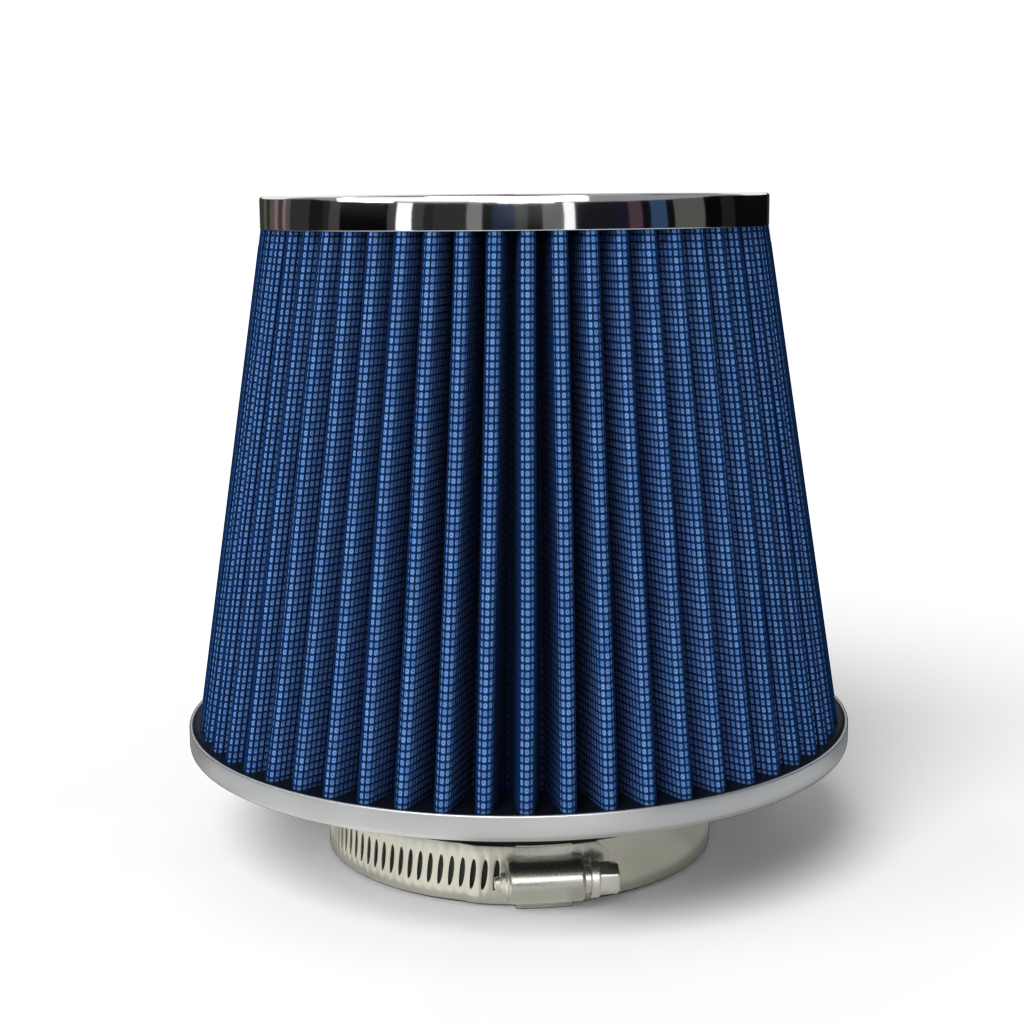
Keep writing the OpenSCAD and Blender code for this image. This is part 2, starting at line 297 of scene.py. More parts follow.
# Where each quarter of the belt starts and ends, counted in pleats.
quarters = {name: (q * pleats / 4, (q + 1) * pleats / 4)
            for q, name in enumerate(("front_right", "back_right", "back_left", "front_left"))}


def folded(across, height, offset):
    """Where a point of the flat stack comes to lie. Across counts pleats round the filter, and
    offset is how far outside the middle of the stack the point is."""
    share = (height - media_foot.z) / (media_head.z - media_foot.z)
    tip_r = tip_bottom + (tip_top - tip_bottom) * share
    root_r = tip_r - pleat_depth
    centre = tip_r - bend - stack / 2
    sideways = root_r * math.sin(pitch / 2)
    depth = centre - root_r * math.cos(pitch / 2)
    apart = np.hypot(sideways, depth)
    slope = np.arctan2(sideways, depth) - np.arcsin(2 * bend / apart)
    tip_turn = math.pi / 2 - slope
    root_turn = tip_turn - pitch / 2
    tip_run = (bend + offset) * tip_turn
    flank = np.sqrt(apart ** 2 - (2 * bend) ** 2)
    root_run = (bend - offset) * root_turn
    pleat = np.floor(across)
    side = 2 * (across - pleat) - 1
    along = np.abs(side) * (tip_run + flank + root_run)
    # The fold runs a radians round its tip, b down its flank and ends c radians round its root.
    a = np.minimum(along / (bend + offset), tip_turn)
    b = np.clip(along - tip_run, 0, flank)
    c = slope + np.clip(along - tip_run - flank, 0, None) / (bend - offset)
    at_root = along > tip_run + flank
    # Here u is how far it lies to one side of the pleat's middle, and v is how far from the axis.
    u = np.where(at_root, sideways - (bend - offset) * np.cos(c),
                 (bend + offset) * np.sin(a) + b * np.sin(slope))
    v = np.where(at_root, centre - depth - (bend - offset) * np.sin(c),
                 centre + (bend + offset) * np.cos(a) - b * np.cos(slope))
    each = np.arange(-1, pleats + 2)
    bow, weave = (np.interp(across, each + 0.5, np.take(row, each, mode="wrap")) for row in sway)
    wave = bow * np.sin(math.pi * share) + weave * np.sin(math.tau * share) * 0.5
    turn = first_tip + twist * share + pitch * pleat + wave
    u = u * np.sign(side)
    return np.stack([v * np.cos(turn) - u * np.sin(turn), v * np.sin(turn) + u * np.cos(turn), height],
                    axis=1)


def fold_piece(piece):
    """Folds a flat piece, whose x counts pleats and y is its offset. Returns its flat points."""
    flat = np.empty(len(piece.data.vertices) * 3)
    piece.data.vertices.foreach_get("co", flat)
    flat = flat.reshape(-1, 3)
    piece.data.vertices.foreach_set("co", folded(flat[:, 0], flat[:, 2], flat[:, 1]).ravel())
    piece.data.update()
    return flat


def flat_grid(x_cuts, z_cuts, start, end, offset):
    """A flat grid from one pleat to another, over the whole height of the cloth."""
    bm = bmesh.new()
    bmesh.ops.create_grid(bm, x_segments=x_cuts, y_segments=z_cuts, size=0.5)
    bmesh.ops.transform(bm, verts=bm.verts, matrix=(
        Matrix.Translation(((start + end) / 2, offset, (cloth_foot + cloth_head) / 2))
        @ Matrix.Diagonal((end - start, 1, cloth_tall, 1))
        @ Matrix.Rotation(math.pi / 2, 4, "X")))
    return bm


def below_tips(finish):
    """How deep in its pleat a point lies, from 0 at the tips to 1 at the roots."""
    place = finish.node("ShaderNodeTexCoord", output="Object")
    height = finish.node("ShaderNodeSeparateXYZ", None, {0: place}, "Z")
    level = finish.node("ShaderNodeVectorMath", {"operation": "MULTIPLY"}, {0: place, 1: (1, 1, 0)})
    r = finish.node("ShaderNodeVectorMath", {"operation": "LENGTH"}, {0: level}, "Value")
    rise = (height - media_foot.z) / (media_head.z - media_foot.z)
    return (tip_bottom + (tip_top - tip_bottom) * rise - r) / pleat_depth


cotton = Finish("blue_cotton", {"Specular IOR Level": 0.25, "Sheen Weight": 0.08,
                                "Sheen Roughness": 0.4, "Sheen Tint": (0.6, 0.78, 1.0, 1)})
cell = cotton.node("ShaderNodeTexCoord", output="UV")
cell_x = cotton.node("ShaderNodeSeparateXYZ", None, {0: cell}, "X")
cell_z = cotton.node("ShaderNodeSeparateXYZ", None, {0: cell}, "Y")
off_x = abs(cell_x.math("FRACT", cell_x) - 0.5) * 2
off_z = abs(cell_z.math("FRACT", cell_z) - 0.5) * 2
from_middle = (off_x * off_x + off_z * off_z) ** 0.5
dot = (1.25 - from_middle * 3.0).clipped()
shade = ((from_middle - 0.66) * 3.2).clipped()
yarn = (cell_x * (math.tau * 4)).math("SINE", cell_x * (math.tau * 4)) * 0.25 + 0.5
yarn = yarn + (cell_z * (math.tau * 5)).math("SINE", cell_z * (math.tau * 5)) * 0.25
which = cotton.node("ShaderNodeVectorMath", {"operation": "FLOOR"}, {0: cell}, "Vector")
luck = cotton.node("ShaderNodeTexWhiteNoise", {"noise_dimensions": "3D"}, {"Vector": which}, "Value")
dye = cotton.noise(160)
blue = cotton.between(luck, (0.045, 0.175, 0.455, 1), (0.135, 0.345, 0.690, 1))
blue = cotton.between((dye * 0.8 - 0.1).clipped(), blue, (0.100, 0.150, 0.400, 1))
blue = cotton.between((dot * 0.8 + yarn * 0.25).clipped(), blue, (0.010, 0.055, 0.220, 1))
blue = cotton.between(shade, blue, (0.002, 0.024, 0.110, 1))
# Painted shade: the cloth is darkened deep in the pleats, where the valleys lie in shade.
deep = below_tips(cotton)
blue = cotton.between(((deep - 0.05) * 3).clipped() * 0.5, blue, (0.045, 0.055, 0.250, 1))
blue = cotton.between(((deep - 0.12) * 2.0).clipped() * 0.7, blue, (0.002, 0.013, 0.065, 1))
cotton.give("Base Color", blue)
cotton.give("Roughness", 0.55 + 0.2 * yarn)
cotton.bump(yarn - dot * 0.8, 0.05 * mm)


def lay_gauze(bm, name, nodes, start, across, width):
    """Folds flat gauze from one pleat on, with a UV that counts its cells across and up."""
    piece = add_piece(bm, name, "filter", cotton, nodes, sharp=180)
    flat = fold_piece(piece)
    corner_of = np.empty(len(piece.data.loops), int)
    piece.data.loops.foreach_get("vertex_index", corner_of)
    cells = np.stack([(flat[:, 0] - start) * across, (flat[:, 2] - cloth_foot) / cloth_tall * rows],
                     axis=1)
    piece.data.uv_layers.new(name="cells").data.foreach_set("uv", cells[corner_of].ravel())


for quarter, (start, end) in quarters.items():
    cloth = flat_grid(columns, rows, start, end, outer_offset)
    tops = bmesh.ops.poke(cloth, faces=cloth.faces, center_mode="MEAN")["verts"]
    bmesh.ops.translate(cloth, verts=tops, vec=(0, puff, 0))
    lay_gauze(cloth, f"outer_gauze_{quarter}", ["gauze_ply_1", "gauze_ply_2"], start,
              columns / (end - start), (end - start) * fold_length)

backing_steps, backing_levels = 16, 24
backing_cells = 25
backing = flat_grid(pleats * backing_steps, backing_levels, 0, pleats, -outer_offset)
lay_gauze(backing, "inner_gauze", ["gauze_ply_3", "gauze_ply_4"], 0, backing_cells,
          pleats * fold_length)


# ---- Wire screens ----
# A screen of fine aluminium wire lies on each side of the gauze and holds its pleats. The
# wires are dipped in dark blue paint, which lies unevenly.

wire_r = 0.20 * mm
outer_wire_offset = 0.60 * mm
inner_wire_offset = -0.62 * mm
outer_heights, inner_heights = 6, 4
inner_levels, inner_uprights = 38, 12
outer_bends = (0.0, 0.05, 0.1, 0.14, 0.55, 0.955, 0.98)
inner_bends = (0.0, 0.08, 0.14, 0.955)

paint = Finish("dipped_wire", {"Specular IOR Level": 0.06})
pooled = paint.noise(700)
coat = paint.between(pooled, (0.001, 0.012, 0.050, 1), (0.002, 0.026, 0.105, 1))
# Painted shade: the wires are darkened deep in the pleats, where the valleys lie in shade.
paint.give("Base Color", paint.between(((below_tips(paint) - 0.08) * 2.4).clipped() * 0.9, coat,
                                       (0.0005, 0.003, 0.014, 1)))
paint.give("Roughness", 0.35 + 0.25 * pooled)
paint.bump(pooled, 0.02 * mm)


def wire(points, thick, across):
    """One flat length of three-sided wire through points, across the pleats or up them. Thick
    scales its section."""
    bm = bmesh.new()
    ring = bmesh.ops.create_circle(bm, segments=3, radius=1, cap_ends=False)["verts"]
    if across:
        place = Matrix(((0, 0, 1, 0), (0, 1, 0, 0), (1, 0, 0, 0), (0, 0, 0, 1)))
    else:
        place = Matrix.Identity(4)
    bmesh.ops.transform(bm, verts=ring, matrix=Matrix.Diagonal(thick) @ place)
    bmesh.ops.translate(bm, verts=ring, vec=Vector(points[0]))
    edges = bm.edges[:]
    for here, there in zip(points, points[1:]):
        grown = bmesh.ops.extrude_edge_only(bm, edges=edges)["geom"]
        bmesh.ops.translate(bm, verts=[g for g in grown if isinstance(g, bmesh.types.BMVert)],
                            vec=Vector(there) - Vector(here))
        edges = [g for g in grown if isinstance(g, bmesh.types.BMEdge)
                 and all(v in grown for v in g.verts)]
    return bm


def run_of_bends(start, end, bends):
    """Where a level wire bends, counted in pleats. Each bend lies a share of the way from a tip, 0,
    to the next root, 1."""
    places = [k + 0.5 + side * share / 2 for k in range(int(start) - 1, int(end) + 1)
              for share in bends for side in (-1, 1)]
    return sorted({start, end, *[place for place in places if start < place < end]})


def repeat(bm, count, gap):
    """Copies all there is until there are count of it, each one gap from the last."""
    verts, edges, faces = len(bm.verts), len(bm.edges), len(bm.faces)
    made = 1
    while made < count:
        more = min(made, count - made)
        part = bm.verts[:verts * more] + bm.edges[:edges * more] + bm.faces[:faces * more]
        copy = bmesh.ops.duplicate(bm, geom=part)["geom"]
        bmesh.ops.translate(bm, verts=[g for g in copy if isinstance(g, bmesh.types.BMVert)],
                            vec=Vector(gap) * made)
        made += more


def join(bm, other):
    """Moves all of another bmesh into this one."""
    carrier = bpy.data.meshes.new("carrier")
    other.to_mesh(carrier)
    other.free()
    bm.from_mesh(carrier)
    bpy.data.meshes.remove(carrier)


def screen(name, start, end, levels, uprights, bends, offset, heights, node):
    """A flat stretch of screen, folded once its wires are laid. Folding turns faces over."""
    run = run_of_bends(start, end, bends)
    bm = wire([(x, offset, cloth_foot) for x in run], (1, wire_r, wire_r, 1), True)
    repeat(bm, levels + 1, (0, 0, cloth_tall / levels))
    upright = wire([(start, offset, cloth_foot + cloth_tall * i / heights) for i in range(heights + 1)],
                   (wire_r / fold_length, wire_r, 1, 1), False)
    repeat(upright, uprights + 1, ((end - start) / uprights, 0, 0))
    join(bm, upright)
    bmesh.ops.recalc_face_normals(bm, faces=bm.faces)
    bmesh.ops.reverse_faces(bm, faces=bm.faces)
    piece = add_piece(bm, name, "filter", paint, [node], sharp=180)
    fold_piece(piece)


for quarter, (start, end) in quarters.items():
    screen(f"outer_wires_{quarter}", start, end, rows, columns, outer_bends, outer_wire_offset,
           outer_heights, "outer_screen")
screen("inner_wires", 0, pleats, inner_levels, pleats * inner_uprights, inner_bends,
       inner_wire_offset, inner_heights, "inner_screen")


# ---- Seam strip ----
# The pleated belt's two ends meet in one valley, where a folded strip of zinc-coated steel
# clasps them from the inside.

zinc = Finish("zinc_coat", {"Metallic": 1.0})
spangle = zinc.noise(220)
zinc.give("Base Color", zinc.between(spangle, (0.42, 0.43, 0.44, 1), (0.60, 0.61, 0.62, 1)))
zinc.give("Roughness", 0.32 + 0.25 * spangle)
zinc.bump(spangle, 0.02 * mm)
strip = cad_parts["seam_clip"]
strip.data.materials.clear()
strip.data.materials.append(zinc.material)


# ---- Top cap ----
# The cap is drawn from steel sheet and chromed like a mirror. Its skirt ends in a turned
# edge over the pleats, and the lid has a shallow pressed recess. Resin fills it below.

skirt_edge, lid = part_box("top_cap")
cap_r = lid.x
cap_t = 0.8 * mm
recess_r = cap_r - 9 * mm
recess_step = 1.6 * mm
recess_z = lid.z - 0.8 * mm
fill_r = cap_r - cap_t - 0.02 * mm
fill_gap = 0.05 * mm

chrome = Finish("mirror_chrome", {"Metallic": 1.0, "Base Color": (0.86, 0.87, 0.89, 1)})
smear = chrome.noise(30)
orange_peel = chrome.noise(180, detail=1)
chrome.give("Roughness", 0.03 + 0.05 * smear)
chrome.bump(orange_peel, 0.012 * mm)

cap = turned([
    (0, recess_z, 0),
    (recess_r - recess_step, recess_z, 0.8 * mm),
    (recess_r, lid.z, 0.8 * mm),
    (cap_r, lid.z, 0.6 * mm),
    (cap_r, skirt_edge.z, 0.3 * mm),
    (cap_r - cap_t, skirt_edge.z, 0.3 * mm),
    (cap_r - cap_t, lid.z - cap_t, 0.5 * mm),
    (recess_r, lid.z - cap_t, 0.5 * mm),
    (recess_r - recess_step, recess_z - cap_t, 0.5 * mm),
    (0, recess_z - cap_t, 0),
], steps=256)
add_piece(cap, "top_cap_shell", "filter", chrome, ["top_cap"])

fill = turned([
    (0, skirt_edge.z, 0),
    (fill_r, skirt_edge.z, 0.1 * mm),
    (fill_r, lid.z - cap_t - fill_gap, 0.5 * mm),
    (recess_r, lid.z - cap_t - fill_gap, 0),
    (recess_r - recess_step, recess_z - cap_t - fill_gap, 0),
    (0, recess_z - cap_t - fill_gap, 0),
])
add_piece(fill, "top_resin", "filter", resin, ["top_potting"])


# ---- Captive band ----
# The clamp's band is rolled stainless strip with dressed edges. This half is held in the
# housing, runs round the neck to the back, and there rises over the slotted half's end.

clamp_turn = Matrix.Rotation(math.radians(6.2), 4, "Z")
band_foot, band_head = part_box("clamp_band")
band_mid = (band_foot.z + band_head.z) / 2
band_w = band_head.z - band_foot.z
band_t = 0.65 * mm
# Where the halves lap, one lies at inner_r and the other at outer_r. Runs are taken at gauge_r.
inner_r = 43.45 * mm
outer_r = 44.20 * mm
gauge_r = 44.65 * mm
tongue_end = math.radians(-10.8) * gauge_r
lap_start = math.radians(181.3)
lap_climb = math.radians(6.4)
lap_end = math.radians(215) * gauge_r

stainless = Finish("rolled_stainless", {"Metallic": 1.0})
rolled = stainless.noise(45, stretch=(1, 1, 60), detail=4)
stain = stainless.noise(50)
stainless.give("Base Color", stainless.between(stain, (0.58, 0.57, 0.51, 1), (0.70, 0.69, 0.62, 1)))
stainless.give("Roughness", 0.2 + 0.14 * rolled + 0.08 * stain)
stainless.bump(rolled, 0.012 * mm)


def eased(share):
    """A smooth climb from 0 to 1."""
    share = min(max(share, 0.0), 1.0)
    return share * share * (3 - 2 * share)


def wrap(bm, radius_at):
    """Bends a flat strip about Z. Its x is the run along the strip, and y its thickness."""
    for vert in bm.verts:
        angle = vert.co.x / gauge_r
        r = radius_at(angle) + vert.co.y
        vert.co = (r * math.sin(angle), -r * math.cos(angle), vert.co.z)
    bmesh.ops.recalc_face_normals(bm, faces=bm.faces)
    bmesh.ops.transform(bm, matrix=clamp_turn, verts=bm.verts)


def flat_bar(start, end, low, high, thick, rounding, cuts):
    """A straight bar of strip with rounded long edges, cut across so that it can bend."""
    bm = bmesh.new()
    bmesh.ops.create_cube(bm, size=1)
    bmesh.ops.transform(bm, verts=bm.verts, matrix=(
        Matrix.Translation(((start + end) / 2, thick / 2, (low + high) / 2))
        @ Matrix.Diagonal((end - start, thick, high - low, 1))))
    lengthwise = [e for e in bm.edges if abs(e.verts[0].co.x - e.verts[1].co.x) > 1e-6]
    bmesh.ops.bevel(bm, geom=lengthwise, offset=rounding, segments=3, profile=0.5,
                    affect="EDGES", material=-1)
    lengthwise = [e for e in bm.edges if abs(e.verts[0].co.x - e.verts[1].co.x) > 1e-6]
    bmesh.ops.subdivide_edges(bm, edges=lengthwise, cuts=cuts, use_grid_fill=True)
    return bm


captive = flat_bar(tongue_end, lap_end, band_foot.z, band_head.z, band_t, 0.2 * mm, 150)
wrap(captive, lambda a: inner_r + (outer_r - inner_r) * eased((a - lap_start) / lap_climb))
add_piece(captive, "captive_band", "clamp", stainless, ["clamp_band"])


# ---- Slotted strap ----
# The other half has a row of leaning slots, pierced and pressed so that one side bellies out,
# which the worm engages. Its tail leaves the housing with both corners cut off.

slot_pitch = 2.51 * mm
slot_half = 3.3 * mm
slot_left = 0.40 * mm
slot_right = 0.78 * mm
slot_lean = math.tan(math.radians(7))
fullness = 0.9
first_slot, last_slot = -38, 4
climb_slot, climb_slots = -7.5, 2
tail_end = math.radians(18.8) * gauge_r
tail_cut = 3 * mm
strap_end = math.radians(-165) * gauge_r

strap = bmesh.new()
opening = bmesh.ops.create_circle(strap, segments=24, radius=1, cap_ends=False)["verts"]
border = bmesh.ops.create_circle(strap, segments=24, radius=1, cap_ends=False)["verts"]
for vert in opening:
    c, s = vert.co.x, vert.co.y
    side = slot_right if c > 0 else slot_left
    bulge = side * math.copysign(abs(c) ** fullness, c)
    vert.co = (bulge + slot_half * s * slot_lean, 0, slot_half * s)
for vert in border:
    c, s = vert.co.x, vert.co.y
    reach = max(abs(c), abs(s))
    vert.co = (slot_pitch / 2 * c / reach, 0, band_w / 2 * s / reach)
bmesh.ops.bridge_loops(strap, edges=strap.edges[:])
bmesh.ops.translate(strap, verts=strap.verts, vec=(first_slot * slot_pitch, 0, band_mid))
repeat(strap, last_slot - first_slot + 1, (slot_pitch, 0, 0))
bmesh.ops.remove_doubles(strap, verts=strap.verts, dist=1e-6)
for edge_x, far_x, parts in (((first_slot - 0.5) * slot_pitch, strap_end, 12),
                             ((last_slot + 0.5) * slot_pitch, tail_end, 2)):
    edges = [e for e in strap.edges if all(abs(v.co.x - edge_x) < 1e-6 for v in e.verts)]
    for part in range(parts):
        grown = bmesh.ops.extrude_edge_only(strap, edges=edges)["geom"]
        new = [g for g in grown if isinstance(g, bmesh.types.BMVert)]
        bmesh.ops.translate(strap, verts=new, vec=((far_x - edge_x) / parts, 0, 0))
        edges = [e for e in strap.edges if all(v in new for v in e.verts)]
for side in (-1, 1):
    bmesh.ops.bisect_plane(
        strap, geom=strap.verts[:] + strap.edges[:] + strap.faces[:], dist=1e-7,
        plane_co=(tail_end - tail_cut, 0, band_mid + side * band_w / 2), plane_no=(1, 0, side),
        clear_outer=True)
bmesh.ops.recalc_face_normals(strap, faces=strap.faces)
grown = bmesh.ops.extrude_face_region(strap, geom=strap.faces[:])["geom"]
outside = {g for g in grown if isinstance(g, bmesh.types.BMVert)}
bmesh.ops.translate(strap, verts=list(outside), vec=(0, band_t, 0))
bmesh.ops.recalc_face_normals(strap, faces=strap.faces)
rims = [e for e in strap.edges if all(v in outside for v in e.verts)
        and any(abs(f.normal.y) < 0.5 for f in e.link_faces)]
bmesh.ops.bevel(strap, geom=rims, offset=0.12 * mm, segments=2, profile=0.5, affect="EDGES",
                material=-1)
wrap(strap, lambda a: inner_r + (outer_r - inner_r) * eased(
    (a * gauge_r / slot_pitch - climb_slot) / climb_slots))
add_piece(strap, "slotted_strap_steel", "strap", stainless, ["slotted_strap"])


# ---- Housing ----
# The housing is pressed stainless: a saddle whose two tabs fold over the band's edges, and
# a barrel that holds the worm, domed outward with rounded ends.

screw_r = 48.0 * mm
barrel_r = 4.5 * mm
barrel_half = 8 * mm
barrel_back_r = 45.4 * mm
saddle_r = 44.95 * mm
saddle_t = 0.7 * mm
saddle_half = 5.8 * mm
tab_reach = 2.1 * mm
tab_t = 0.5 * mm
crease_z = band_mid + 3.8 * mm
lean_back = 0.38 * mm
housing_foot, housing_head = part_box("clamp_housing")

pressed = Finish("pressed_stainless", {"Metallic": 1.0})
blasted = pressed.noise(5200, detail=1)
tarnish = pressed.noise(160)
pressed.give("Base Color", pressed.between(tarnish, (0.52, 0.51, 0.47, 1), (0.66, 0.65, 0.60, 1)))
pressed.give("Roughness", 0.2 + 0.2 * blasted)
pressed.bump(blasted, 0.008 * mm)

saddle = flat_bar(-saddle_half, saddle_half, housing_foot.z, housing_head.z, saddle_t, 0.3 * mm, 12)
bmesh.ops.bisect_plane(saddle, geom=saddle.verts[:] + saddle.edges[:] + saddle.faces[:], dist=1e-7,
                       plane_co=(0, 0, crease_z), plane_no=(0, 0, 1))
for vert in saddle.verts:
    if vert.co.z > crease_z + 0.1 * mm and vert.co.y > saddle_t / 2:
        vert.co.y -= lean_back
for low in (housing_foot.z, housing_head.z - tab_t):
    tab = flat_bar(-saddle_half, saddle_half, low, low + tab_t, tab_reach, 0.15 * mm, 12)
    bmesh.ops.translate(tab, verts=tab.verts, vec=(0, saddle_t - tab_reach, 0))
    join(saddle, tab)
wrap(saddle, lambda a: saddle_r)
add_piece(saddle, "housing_saddle", "clamp", pressed, ["clamp_housing"])

barrel = bmesh.new()
section = bmesh.ops.create_circle(barrel, segments=48, radius=barrel_r, cap_ends=True)["verts"]
for vert in section:
    if vert.co.y > 0:
        vert.co = (math.copysign(barrel_r, vert.co.x), min(vert.co.y, screw_r - barrel_back_r), 0)
bmesh.ops.transform(barrel, verts=barrel.verts, matrix=(
    Matrix.Translation((-barrel_half, -screw_r, band_mid))
    @ Matrix(((0, 0, 1, 0), (0, 1, 0, 0), (1, 0, 0, 0), (0, 0, 0, 1)))))
bmesh.ops.remove_doubles(barrel, verts=barrel.verts, dist=1e-6)
grown = bmesh.ops.extrude_face_region(barrel, geom=barrel.faces[:])["geom"]
bmesh.ops.translate(barrel, verts=[g for g in grown if isinstance(g, bmesh.types.BMVert)],
                    vec=(2 * barrel_half, 0, 0))
bmesh.ops.recalc_face_normals(barrel, faces=barrel.faces)
end_edges = [e for e in barrel.edges if len({round(v.co.x, 6) for v in e.verts}) == 1]
bmesh.ops.bevel(barrel, geom=end_edges, offset=0.9 * mm, segments=5, profile=0.5,
                affect="EDGES", material=-1)
bmesh.ops.transform(barrel, matrix=clamp_turn, verts=barrel.verts)
add_piece(barrel, "housing_barrel", "clamp", pressed, ["clamp_housing"])


# ---- Screw ----
# The worm is turned from plated steel. Its tapered tip shows at one end of the barrel, and
# its flange and slotted hexagon head at the other.

steel = Finish("plated_steel", {"Metallic": 1.0})
peened = steel.noise(3800, detail=2)
dull = steel.noise(300)
steel.give("Base Color", steel.between(dull, (0.66, 0.65, 0.60, 1), (0.88, 0.87, 0.82, 1)))
steel.give("Roughness", 0.24 + 0.28 * peened)
steel.bump(peened, 0.03 * mm)

on_screw = clamp_turn @ Matrix.Translation((0, -screw_r, band_mid)) @ Matrix.Rotation(
    math.pi / 2, 4, "Y")
shank_r = 2.9 * mm
flange_z = barrel_half + 1.2 * mm
hex_z = flange_z + 1.9 * mm
hex_end = hex_z + 4.1 * mm
hex_sunk = 0.4 * mm
hex_corner_r = 3.2 * mm / math.cos(math.pi / 6)
driver_w = 1.2 * mm
driver_depth = 1.8 * mm

shank = turned([
    (0, -barrel_half - 2.7 * mm, 0),
    (1.2 * mm, -barrel_half - 2.7 * mm, 0.2 * mm),
    (1.5 * mm, -barrel_half - 1.5 * mm, 0.1 * mm),
    (2.0 * mm, -barrel_half - 1.4 * mm, 0.15 * mm),
    (2.4 * mm, -barrel_half - 0.5 * mm, 0.1 * mm),
    (shank_r, -barrel_half - 0.1 * mm, 0),
    (shank_r, flange_z, 0),
    (3.9 * mm, flange_z, 0.25 * mm),
    (3.9 * mm, hex_z, 0.35 * mm),
    (0, hex_z, 0),
], steps=64)
bmesh.ops.transform(shank, matrix=on_screw, verts=shank.verts)
add_piece(shank, "screw_shank", "screw", steel, ["clamp_screw"])

hexagon = bmesh.new()
bmesh.ops.create_cone(hexagon, cap_ends=True, segments=6, radius1=hex_corner_r, radius2=hex_corner_r,
                      depth=hex_end - hex_z + hex_sunk)
bmesh.ops.transform(hexagon, verts=hexagon.verts, matrix=(
    Matrix.Translation((0, 0, (hex_end + hex_z - hex_sunk) / 2)) @ Matrix.Rotation(math.pi / 6, 4, "Z")))
bmesh.ops.bevel(hexagon, geom=hexagon.edges[:], offset=0.45 * mm, segments=4, profile=0.5,
                affect="EDGES", material=-1)
bmesh.ops.transform(hexagon, matrix=on_screw, verts=hexagon.verts)
head = add_piece(hexagon, "screw_head", "screw", steel, ["clamp_screw"])
blade = bmesh.new()
bmesh.ops.create_cube(blade, size=1)
bmesh.ops.transform(blade, verts=blade.verts, matrix=(
    on_screw @ Matrix.Translation((0, 0, hex_end))
    @ Matrix.Diagonal((9 * mm, driver_w, 2 * driver_depth, 1))))
blade_mesh = bpy.data.meshes.new("blade")
blade.to_mesh(blade_mesh)
blade.free()
cutter = bpy.data.objects.new("blade", blade_mesh)
bpy.context.scene.collection.objects.link(cutter)
cut = head.modifiers.new("driver_slot", "BOOLEAN")
cut.object = cutter
cut.operation = "DIFFERENCE"
cut.solver = "EXACT"
bpy.context.view_layer.update()
slotted = bpy.data.meshes.new_from_object(head.evaluated_get(bpy.context.evaluated_depsgraph_get()))
head.modifiers.clear()
head.data = slotted
bpy.data.objects.remove(cutter)


# ---- Studio ----
# White air over a pale floor that only catches shadows, a wide key light, two soft boxes, and
# strips of card round the filter that show only in its bright metal.

scene = bpy.context.scene
scene.view_settings.view_transform = "Standard"
scene.view_settings.look = "None"

backdrop = Finish("pale_floor", {"Base Color": (0.86, 0.86, 0.86, 1), "Roughness": 0.9})
ground = bmesh.new()
bmesh.ops.create_grid(ground, x_segments=1, y_segments=1, size=6)
bmesh.ops.translate(ground, verts=ground.verts, vec=(0, 0, cad_box[0][2]))
ground_mesh = bpy.data.meshes.new("floor")
ground.to_mesh(ground_mesh)
ground.free()
ground_mesh.materials.append(backdrop.material)
floor = bpy.data.objects.new("floor", ground_mesh)
scene.collection.objects.link(floor)
floor.is_shadow_catcher = True

# The camera sees white air. All else is lit by a dimmer one.
world = bpy.data.worlds.new("studio_air")
world.use_nodes = True
air = world.node_tree
seen = air.nodes.new("ShaderNodeLightPath")
level = air.nodes.new("ShaderNodeMapRange")
level.inputs["To Min"].default_value = 0.28
air.links.new(seen.outputs["Is Camera Ray"], level.inputs["Value"])
air.links.new(level.outputs["Result"], air.nodes["Background"].inputs["Strength"])
air.nodes["Background"].inputs["Color"].default_value = (1, 1, 1, 1)
scene.world = world


def soft_box(name, place, size, power):
    """A square lamp that looks at the filter."""
    lamp = bpy.data.lights.new(name, "AREA")
    lamp.shape = "SQUARE"
    lamp.size = size
    lamp.energy = power
    box = bpy.data.objects.new(name, lamp)
    box.location = place
    box.rotation_euler = (Vector((0, 0, 0.08)) - Vector(place)).to_track_quat("-Z", "Y").to_euler()
    scene.collection.objects.link(box)


sky = bpy.data.lights.new("key_light", "SUN")
sky.energy = 2.5
sky.angle = math.radians(35)
key = bpy.data.objects.new("key_light", sky)
key.rotation_euler = Vector((0.35, 0.75, -0.85)).to_track_quat("-Z", "Y").to_euler()
scene.collection.objects.link(key)
soft_box("side_box", (-1.2, -0.5, 0.5), 0.7, 6)
soft_box("front_box", (0.1, -1.2, 0.25), 0.5, 3)

# Each card runs from its direction to the next one's, in degrees from the front toward the
# right. One ring leans back from the floor, two lie on it, walls stand behind the lid and high
# in front, a roof hangs over them, and the last two, under the pan, are painted shade that
# keeps the pan's underside dark in reflections. The cards glow and show only in reflections.
cap_shades = [
    (-180, (0.04, 0.04, 0.03)), (-144, (0.09, 0.09, 0.08)), (-139, (0.03, 0.03, 0.02)),
    (-133, (0.11, 0.08, 0.07)), (-127, (0.21, 0.15, 0.15)), (-123, (0.06, 0.04, 0.04)),
    (-118, (0.21, 0.16, 0.16)), (-115, (0.09, 0.08, 0.08)), (-111, (0.03, 0.03, 0.03)),
    (-96, (0.01, 0.01, 0.01)), (-87, (0.02, 0.02, 0.02)), (-83, (0.06, 0.05, 0.05)),
    (-77, (0.003, 0.003, 0.003)), (-53, (0.05, 0.05, 0.05)), (-49, (1.2, 1.2, 1.2)),
    (-42, (0.05, 0.05, 0.05)), (-37, (0.02, 0.02, 0.02)), (-33, (0.03, 0.03, 0.03)),
    (-19, (0.20, 0.20, 0.19)), (-13, (0.01, 0.01, 0.01)), (-9, (0.01, 0.02, 0.05)),
    (0, (0.05, 0.05, 0.05)), (5, (0.008, 0.008, 0.008)), (11, (0.13, 0.13, 0.12)),
    (19.5, (1.1, 1.1, 1.1)), (24, (0.01, 0.01, 0.012)), (40, (0.01, 0.01, 0.02)),
    (47, (0.07, 0.04, 0.05)), (53, (0.006, 0.004, 0.006)), (57, (0.03, 0.06, 0.12)),
    (65, (0.004, 0.005, 0.006)), (69, (0.09, 0.09, 0.08)), (86, (0.002, 0.002, 0.002)),
    (97, (0.013, 0.013, 0.012)), (107, (0.003, 0.003, 0.003)), (151, (0.03, 0.03, 0.03)),
    (180, None),
]
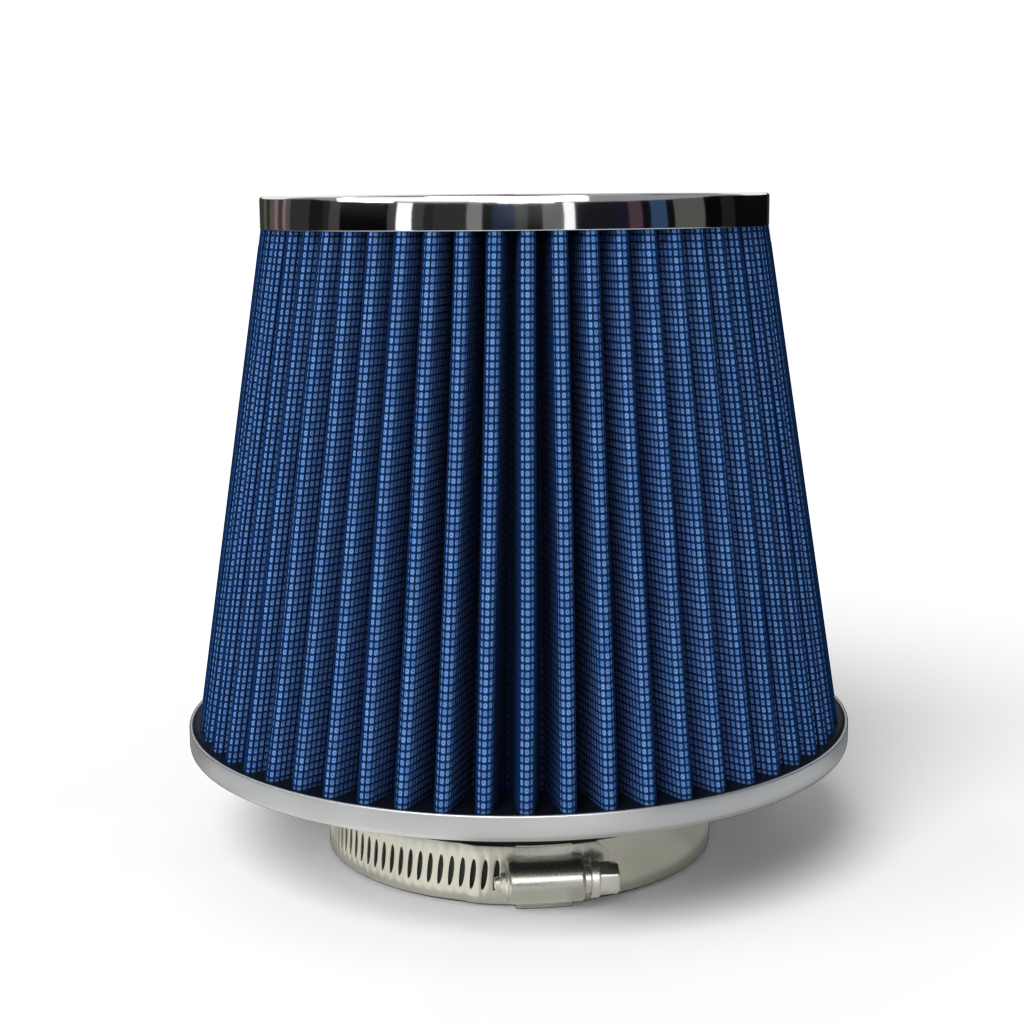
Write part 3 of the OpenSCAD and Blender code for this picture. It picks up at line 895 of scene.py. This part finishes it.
# The two floor rings carry painted shadow: darker behind the filter, and the inner one also on its
# right.
clamp_shades = [
    (-180, (0.10, 0.10, 0.10)), (-100, (0.45, 0.45, 0.42)), (-75, (0.90, 0.90, 0.84)),
    (-40, (1.05, 1.05, 0.98)), (-12, (0.55, 0.55, 0.50)), (12, (0.42, 0.42, 0.38)),
    (40, (0.38, 0.38, 0.35)), (70, (0.30, 0.30, 0.29)), (180, None),
]
pan_shades = [(-180, (0.2, 0.2, 0.2)), (-100, (0.8, 0.8, 0.8)), (20, (0.75, 0.76, 0.78)),
              (100, (0.2, 0.2, 0.2)), (180, None)]
lid_shades = [(120, (0.9, 0.9, 0.9)), (240, None)]
high_shades = [(-75, (1.2, 1.2, 1.15)), (-18, (4.5, 4.5, 4.3)), (30, None)]
roof_shades = [
    (-180, (0.30, 0.30, 0.30)), (-150, (0.95, 0.95, 0.95)), (-95, (0.22, 0.22, 0.22)),
    (-25, (0.10, 0.10, 0.10)), (25, (0.50, 0.50, 0.50)), (70, (0.14, 0.14, 0.14)),
    (130, (0.75, 0.75, 0.75)), (180, None),
]
# Painted shade under the pan: dark near the neck and dim toward the rim.
under_pan_painted_shade = [(-180, (0.010, 0.010, 0.010)), (180, None)]
under_pan_painted_dim_shade = [(-180, (0.16, 0.16, 0.15)), (180, None)]
cards = bmesh.new()
shade_layer = cards.loops.layers.float_color.new("shade")
under_pan = pan_foot.z - 0.4 * mm
# The radius and height of each ring's inside and outside edge.
for stripes, inside, outside in (
        (cap_shades, (0.26, 0.002), (0.56, 0.21)),
        (pan_shades, (0.115, 0.0004), (0.26, 0.0004)),
        (clamp_shades, (0.047, 0.0006), (0.115, 0.0006)),
        (lid_shades, (0.8, 0.16), (0.8, 0.7)),
        (high_shades, (0.57, 0.22), (0.57, 0.45)),
        (roof_shades, (0.8, 0.7), (0.02, 1.1)),
        (under_pan_painted_shade, (0.0446, under_pan), (0.062, under_pan)),
        (under_pan_painted_dim_shade, (0.062, under_pan), (pan_r - 1 * mm, under_pan))):
    for (start, colour), (end, _) in zip(stripes, stripes[1:]):
        ends = [cards.verts.new((0, -r, z)) for r, z in (inside, outside)]
        line = cards.edges.new(ends)
        bmesh.ops.rotate(cards, verts=ends, cent=(0, 0, 0),
                         matrix=Matrix.Rotation(math.radians(start), 3, "Z"))
        standing = set(cards.faces)
        bmesh.ops.spin(cards, geom=[*ends, line], cent=(0, 0, 0), axis=(0, 0, 1),
                       angle=math.radians(end - start), steps=max(3, round((end - start) / 10)))
        for face in set(cards.faces) - standing:
            for corner in face.loops:
                corner[shade_layer] = (*colour, 1)
paper = Finish("card", {"Base Color": (0, 0, 0, 1), "Specular IOR Level": 0.0,
                        "Emission Strength": 1.0})
paper.give("Emission Color", paper.node("ShaderNodeAttribute", {"attribute_name": "shade"},
                                        output="Color"))
card_mesh = bpy.data.meshes.new("reflection_cards")
cards.to_mesh(card_mesh)
cards.free()
card_mesh.materials.append(paper.material)
card_ring = bpy.data.objects.new("reflection_cards", card_mesh)
scene.collection.objects.link(card_ring)
card_ring.visible_camera = False
card_ring.visible_diffuse = False
card_ring.visible_shadow = False
card_ring.visible_transmission = False

eye = bpy.data.cameras.new("photo_camera")
eye.lens = 62.4
eye.sensor_width = 36
camera = bpy.data.objects.new("photo_camera", eye)
camera.location = (-0.0011, -0.3972, 0.14574)
camera.rotation_euler = (Matrix.Rotation(math.radians(80.1), 3, "X")
                         @ Matrix.Rotation(math.radians(-0.5), 3, "Z")).to_euler()
scene.collection.objects.link(camera)
scene.camera = camera
